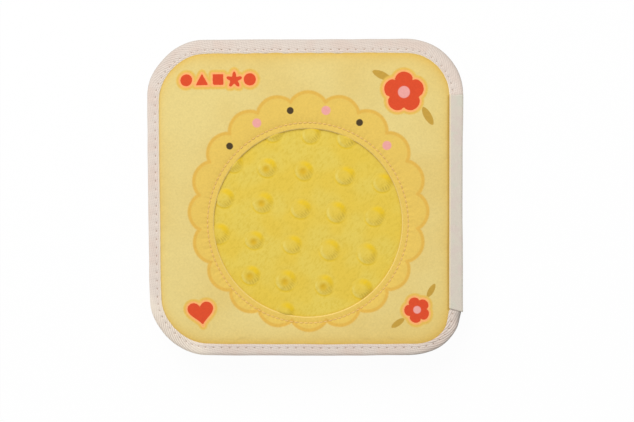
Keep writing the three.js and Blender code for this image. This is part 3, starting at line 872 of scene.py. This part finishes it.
# The binding: twill tape folded round three sides of a leaf, with one row of stitches through it
tape = {"thickness": 0.55, "face": 3.46, "rounding": 2.3, "seamFromEdge": 2.15, "pitch": 4.75, "tuck": 2.2,
        "stations": 900}
tapeStart = spineTop - tape["tuck"]
tapeEnd = outlineLength + spineBottom + tape["tuck"]


def tapeWidth(along):
    # how far the tape reaches in from the leaf's edge
    near, far = np.full(np.shape(along), 3.0), np.full(np.shape(along), 13.0)
    for _ in range(24):
        middle = (near + far) / 2
        beyond = fromTape(*followOutline(along, middle)) > 0
        near, far = np.where(beyond, near, middle), np.where(beyond, middle, far)
    return (near + far) / 2


def cornerShare(along):
    # 1 in the middle of a corner, 0 along the straight sides
    nearest = np.min(np.abs(followOutline(along, 0)), axis=0)
    return easeIn(nearest, halfWidth - binding["outerCorner"] - 2, halfWidth - 14)


def tapeOpened(along):
    # how far the ribs stand open at each corner: least at the upper two, most at the lower right
    x, y = followOutline(along, 0)
    return cornerShare(along) * (0.32 + easeIn(-y, 0, 60) * (0.5 + 0.18 * easeIn(x, 0, 60)))


def ribPlace(along, across):
    # the ribs slant across the tape, and more so at all corners but the lower right
    track = np.linspace(tapeStart - 1, tapeEnd + 1, 2000)
    x, y = followOutline(track, 0)
    lean = sin(twill["slant"]) + 0.2 * cornerShare(track) * (1 - easeIn(x - y, 75, 160))
    return across * cos(twill["slant"]) + np.interp(along, track, np.cumsum(lean) * (track[1] - track[0]))


def tapeTuck(along):
    # 1 where the tape goes under an end of the spine strip: closely at the upper end, loosely at the lower
    upper = easeIn(along - tapeStart, tape["tuck"] - 0.35, tape["tuck"] + 0.25)
    lower = easeIn(tapeEnd - along, tape["tuck"] - 0.3, tape["tuck"] + 2.2)
    return 1 - np.minimum(upper, lower)


def tapeHeight(along, inset, width, number, side):
    fromSeam = inset - (width - tape["seamFromEdge"])
    phase = np.cos(along * tau / tape["pitch"])
    height = tape["face"] - 0.1 * bump(fromSeam, 0.7) - 0.34 * bump(fromSeam, 0.5) * (0.5 + 0.5 * phase) ** 4
    unevenness = ripple(along, inset, 17, (70 if side > 0 else 80) + number)
    height = height - 0.42 * bump(width - inset, 0.7) + 0.05 * (unevenness - 0.8)
    height = height + 0.07 * tapeOpened(along) * (np.sin(ribPlace(along, inset) * tau / 3.1) - 0.8)
    return height - 0.05 * phase * bump(fromSeam + 1.7, 1.2) - 0.5 * tapeTuck(along)


def makeTape(number):
    along = np.linspace(tapeStart, tapeEnd, tape["stations"])
    width, tucked = tapeWidth(along), 0.5 * tapeTuck(along)
    face, thick, rounding = tape["face"], tape["thickness"], tape["rounding"]
    # the section through the fold, as insets from the leaf's edge and heights: the outside and back inside
    halves = {}
    for side in (1, -1):
        half = [(inset, tapeHeight(along, inset, width, number, side))
                for inset in (width + (rounding - width) * share for share in np.linspace(0, 1, 17))]
        half += [(rounding * (1 - sin(turn)), half[-1][1] + rounding * (cos(turn) - 1))
                 for turn in np.linspace(0, pi / 2, 8)[1:]]
        halves[side] = [(inset, side * height) for inset, height in half]
    lining = [(thick, 1.2), (rounding, face - 0.1 - thick), (width * 0.5, face - 0.5 - thick),
              (width - 0.15, face - 0.42 - thick)]
    section = halves[1] + [(0, 0)] + halves[-1][::-1]
    section += [(inset, tucked - height) for inset, height in lining[::-1]]
    section += [(inset, height - tucked) for inset, height in lining]
    inset, height = (np.stack([part[i] + 0 * along for part in section], axis=1) for i in range(2))
    spread, width = np.repeat(along[:, None], inset.shape[1], axis=1), width[:, None]
    uneven = 0.1 * ripple(along, 0 * along, 23, 60 + number) + 0.12
    x, y = followOutline(spread, inset + uneven[:, None] * np.exp(-inset / 2))
    # painted shade: the outer edge is darker along the top and at the lower right, the lower side all across,
    # and beside the lower end of the spine strip
    topSide, lowerRight, lowerLeft = easeIn(y, 50, 80), easeIn(x - y, 75, 160), -x - y
    lowerSide = easeIn(-y, 66, 86) * easeIn(x, -75, -45)
    edge = np.exp(-inset / (1.1 + 0.8 * topSide)) * (0.3 + 0.38 * topSide + 0.54 * lowerRight)
    edge = edge * (1 - 0.75 * lowerSide * (1 - easeIn(x, 40, 66))) * (1 - 0.95 * easeIn(lowerLeft, 100, 150))
    lowerShade = lowerSide * (0.1 + 0.1 * easeIn(inset, 0.5, 4) + 0.08 * bump(width - inset, 1.2))
    lowerShade = lowerShade + 0.5 * bump(np.hypot(x - 88.5, y + 67), 5)
    # painted light: the tape's inner edge is painted pale but along the bottom, making up for the shade where
    # it bends down, and the lower left corner is painted lighter
    pale = bump(width - inset, 0.75) * (1 - easeIn(-y, 55, 80)) + 0.6 * easeIn(lowerLeft, 130, 152)
    nearWall = np.abs(height) < face - rounding
    fields = {
        "along": spread, "across": np.where(nearWall, rounding * 0.6 - np.abs(height) * 0.5, inset + 1.0),
        "cornerShare": cornerShare(spread), "tuck": tapeTuck(spread), "opened": tapeOpened(spread),
        "tapeShade": (edge + lowerShade) * (0.3 + 0.7 * easeIn(np.abs(height), 0.4, 2.4)),
        "selvedgeLight": pale * (height > 0), "fromSeam": inset - (width - tape["seamFromEdge"]),
        "stitchPhase": np.cos(spread * tau / tape["pitch"]),
    }
    fields["ribPlace"] = ribPlace(spread, fields["across"])
    points = np.stack([x, y, levels[number] + height], axis=-1)
    return loopPiece(f"leaf{number}Tape", points, tapeMaterial, wrapRows=False, fields=fields)


def edgeStitches(page):
    pitch, clear = tape["pitch"], tape["tuck"] + 1.5
    along = (np.arange(ceil(tapeStart / pitch), floor(tapeEnd / pitch)) + 0.5) * pitch
    along = along[(along > tapeStart + clear) & (along < tapeEnd - clear)]
    width = tapeWidth(along)
    inset = width - tape["seamFromEdge"]
    here, there = (followOutline(along + step, inset) for step in (0, 0.2))
    height = tapeHeight(along, inset, width, page["leaf"], page["side"]) - stitch["edgeSink"]
    return stitchRow(page, "edge", here, there, height, pitch - stitch["edgeGap"], edgeThread)


# Foam cores, pressed thin under the binding and under both patches. The hollow and its rim lie this far out
# from the window's edge, and the foam's edge and shoulder this far in from the leaf's
foamCore = {"hollow": 7.5, "rim": 7.8, "edge": 1.9, "shoulder": 2.6, "hollowHeight": 1.1, "edgeHeight": 1.2,
            "underPanel": 0.15, "around": 240}


def makeFoam(number):
    share = np.arange(foamCore["around"]) / foamCore["around"]
    along, centre = share * outlineLength, np.array([[centreX], [centreY]])
    halves = []
    for page in (pages[2 * number - 1], pages[2 * number]):
        hollow, rim = (windowRing(page, share * tau, foamCore[name]) for name in ("hollow", "rim"))
        edge, shoulder = (followOutline(along, foamCore[name]) for name in ("edge", "shoulder"))
        rows = [(*(centre + (hollow - centre) * step), foamCore["hollowHeight"])
                for step in (0.1, 0.4, 0.7, 1.0)]
        for step in (0.0, 0.15, 0.3, 0.45, 0.6, 0.75, 0.9, 1.0):
            x, y = rim + (shoulder - rim) * step
            rows.append((x, y, panelHeight(page, x, y) - panel["thickness"] - foamCore["underPanel"]))
        rows.append((*edge, foamCore["edgeHeight"]))
        halves.append([atHeight(page, *row) for row in rows])
    return loopPiece(f"leaf{number}Foam", np.array(halves[0] + halves[1][::-1]), foamMaterial, wrapRows=False)


# Folded strips of plain cotton that run along the spine
def foldedStrip(name, path, thickness, ends, stations=150, uneven=0.0):
    # path is the middle of the cloth in x and z, and ends gives its two ends along y for each x
    path = np.array(path)
    heading = np.gradient(path, axis=0)
    heading = heading / np.linalg.norm(heading, axis=1, keepdims=True)
    normal = np.stack([-heading[:, 1], heading[:, 0]], axis=-1) * thickness / 2
    tip, tail = path[0] - heading[0] * thickness * 0.4, path[-1] + heading[-1] * thickness * 0.02
    section = np.concatenate([[tip], path + normal, [tail], (path - normal)[::-1]])
    low, high = ends(section[:, 0])
    y = low + (high - low) * np.linspace(0, 1, stations)[:, None]
    x, z = section[:, 0] + 0 * y, section[:, 1] + 0 * y
    outward = np.clip((section[:, 0] - 85) / 5, 0, 1)
    shoulder = easeIn(np.abs(z - stackMiddle), 6.5, 9.5) * (uneven > 0)
    x = x - shoulder * outward * (0.55 * bump(y - 8, 38) - uneven * ripple(y, 0 * y, 31, 90))
    z = z + 0.4 * uneven * ripple(x * 0.7, y, 24, 91) * (1 - outward)
    # each end is closed with a row of small faces
    count = len(path)
    last = 2 * count + 1
    cap = [[0, 1, last], [count, count + 1, count + 2]]
    cap += [[i, i + 1, last - i, last + 1 - i] for i in range(1, count)]
    return loopPiece(name, np.stack([x, y, z], axis=-1), stripMaterial, wrapRows=False, cap=cap)


def flatStrip(path, ends):
    # the width and length that a strip was cut to, in metres
    steps = np.diff(np.array(path), axis=0)
    low, high = ends(np.array([path[0][0]]))
    return float(np.hypot(*steps.T).sum()) * mm, float(high[0] - low[0]) * mm


strip = {"thickness": 0.6, "outer": 90.0, "face": 10.78, "rounding": 1.7, "turnZone": 1.25}


def stripPath(side):
    half, face, outer = strip["thickness"] / 2, strip["face"], strip["outer"]
    radius, shoulder, corner = strip["rounding"] - half, face - strip["rounding"], outer - strip["rounding"]
    inner = halfWidth - binding["spine"] + 0.25
    path = [(x, face - half - 0.12 * exp(-(x - inner) / 0.6)) for x in np.linspace(inner, corner, 15)]
    path += [(corner + radius * sin(turn), shoulder + radius * cos(turn))
             for turn in np.linspace(0, pi / 2, 10)[1:]]
    for start, end, count in ((shoulder, strip["turnZone"], 12), (strip["turnZone"], 0.02, 15)):
        path += [(outer - half, z) for z in np.linspace(start, end, count)[1:]]
    return [(x, stackMiddle + side * z) for x, z in path]


def stripEnds(x):
    # the lower end is cut at a slant
    return spineBottom + 1.1 - 2.2 * np.clip((x - 82) / 8, 0, 1), spineTop + 0.2 + 0 * x


# A gutter tape lies on each inner page along the spine, and a fold of the same cloth joins two of them
gutter = {"thickness": 0.46, "face": 3.44, "inner": 82.0, "outer": 88.3}


def gutterPath(page):
    height = gutter["face"] - gutter["thickness"] / 2
    path = [(x, height) for x in np.linspace(gutter["inner"], gutter["outer"], 14)]
    path += [(gutter["outer"] + 0.32 * sin(turn), height - 0.5 * (1 - cos(turn)))
             for turn in np.linspace(0, pi / 2, 6)[1:]]
    return [(x, levels[page["leaf"]] + page["side"] * z) for x, z in path]


def gutterEnds(x):
    return spineBottom + 0.4 + 0 * x, spineTop - 0.4 + 0 * x


fold = {"thickness": 0.18, "nearLeaf": 88.74, "outside": 89.12, "depth": 0.5, "steps": 26}


def foldPath(side):
    # down along the middle leaf's edge to the hinge, and back up to the next leaf
    radius, middle = (fold["outside"] - fold["nearLeaf"]) / 2, (fold["outside"] + fold["nearLeaf"]) / 2
    top, turned = halfThickness - 0.55, fold["depth"] + radius
    path = [(fold["nearLeaf"], z) for z in np.linspace(top, turned, 9)]
    path += [(middle - radius * cos(turn), turned - radius * sin(turn))
             for turn in np.linspace(0, pi, fold["steps"])[1:-1]]
    path += [(fold["outside"], z) for z in np.linspace(turned, top + 0.9, 9)]
    return [(x, stackMiddle + side * z) for x, z in path]


# Making the pieces: the leaves' pieces each on the body that carries it, the spine strips and gutter folds
# where they lie
def mount(piece, body, node):
    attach(piece, body)
    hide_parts(node)
    return piece


swellPadding()
print("padding swollen by", ", ".join(f"{page['rise'].max():.2f}" for page in pages.values()), "mm")
for number, body in bodies.items():
    foam = mount(makeFoam(number), body, f"leaf_{number}_foam_core")
    bound = mount(makeTape(number), body, f"leaf_{number}_binding_tape")
    print(f"leaf {number}: foam core and binding tape made")

for number, page in pages.items():
    body, node, foamName = page["body"], f"page_{number}", f"leaf{page['leaf']}Foam"
    panelPiece = mount(makePanel(page), body, f"{node}_printed_panel")
    patchPiece = mount(makePatch(page), body, f"{node}_{page['cloth']}_patch")
    windowSeam = mount(windowStitches(page), body, f"{node}_window_seam")
    mount(edgeStitches(page), body, f"{node}_edge_seam")
    if number in (2, 3, 4, 5):
        gutterTape = foldedStrip(f"page{number}GutterTape", gutterPath(page), gutter["thickness"], gutterEnds)
        mount(gutterTape, body, f"{node}_gutter_tape")
    print(f"page {number}: printed panel, patch and seams made")

for side, half, node, outerBody, outerTape in (
        (1, "Upper", "spine_strip_upper", "top_leaf", "leaf1Tape"),
        (-1, "Lower", "spine_strip_lower", "bottom_leaf", "leaf3Tape")):
    halfStrip = foldedStrip(f"spineStrip{half}", stripPath(side), strip["thickness"], stripEnds, 200, 0.1)
    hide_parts(node)
    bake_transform(halfStrip)
    flatStrip(stripPath(side), stripEnds)
    joined = foldedStrip(f"gutterFold{half}", foldPath(side), fold["thickness"], gutterEnds)
    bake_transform(joined)
print("spine strip and gutter folds made")


def shownRays(tree):
    # 1 for what the camera sees, straight, in a shine or through a piece
    shown = addNode(tree, "LightPath", output="Is Camera Ray")
    for ray in ("Is Glossy Ray", "Is Transmission Ray"):
        shown = addNode(tree, "Math", (shown, addNode(tree, "LightPath", output=ray)), operation="MAXIMUM")
    return shown


# The table top: white to the camera, but it keeps a trace of the book's shadow
stageLook = {"reach": 3.0, "drop": 0.3, "white": 0.97, "shadowShare": 0.05}
bpy.ops.mesh.primitive_circle_add(vertices=96, radius=stageLook["reach"], fill_type="NGON",
                                  location=(0, 0, -stageLook["drop"] * mm))
table = bpy.context.object
table.name = "tableTop"
material, tree = newMaterial("matt white table")
shown = addNode(tree, "Math", (shownRays(tree), 1 - stageLook["shadowShare"]), operation="MULTIPLY")
matt = addNode(tree, "BsdfDiffuse", {"Color": (stageLook["white"],) * 3 + (1,)})
glow = addNode(tree, "Emission", {"Color": (1, 1, 1, 1), "Strength": 1.0})
addNode(tree, "OutputMaterial", {"Surface": addNode(tree, "MixShader", (shown, matt, glow))})
table.data.materials.append(material)

# Light: an even white room and one broad soft lamp from the upper left
light = {"room": 0.6, "lampPower": 17.4, "lampSize": 0.95, "lampPlace": (-0.42, 1.21, 1.14)}
world = bpy.data.worlds.new("white room")
bpy.context.scene.world = world
world.use_nodes = True
tree = world.node_tree
tree.nodes.clear()
room, backdrop = (addNode(tree, "Background", {"Color": (1, 1, 1, 1), "Strength": strength})
                  for strength in (light["room"], 1.0))
addNode(tree, "OutputWorld", {"Surface": addNode(tree, "MixShader", (shownRays(tree), room, backdrop))})
lampData = bpy.data.lights.new("soft lamp", "AREA")
lampData.energy, lampData.size = light["lampPower"], light["lampSize"]
lamp = addObject("softLamp", lampData)
lamp.location = light["lampPlace"]
lamp.rotation_euler = (-Vector(light["lampPlace"])).to_track_quat("-Z", "Y").to_euler()

# Camera: straight above the page, leaning a little towards its top edge
view = {"aim": (6.5, -7.2, 21.4), "distance": 500.0, "lean": 2.4, "roll": -0.25, "seenWidth": 361.0,
        "sensor": 36}
lean, roll = radians(view["lean"]), radians(view["roll"])
back = Vector((0, sin(lean), cos(lean)))
right = Matrix.Rotation(roll, 3, back) @ Vector((1, 0, 0))
cameraData = bpy.data.cameras.new("book camera")
cameraData.sensor_width = view["sensor"]
cameraData.lens = view["sensor"] * view["distance"] / view["seenWidth"]
camera = addObject("bookCamera", cameraData)
place = Vector(view["aim"]) * mm + back * view["distance"] * mm
axes = Matrix((right, back.cross(right), back)).transposed().to_4x4()
camera.matrix_world = Matrix.Translation(place) @ axes
bpy.context.scene.camera = camera
bpy.context.scene.view_settings.view_transform = "Standard"
print("table, light and camera ready")
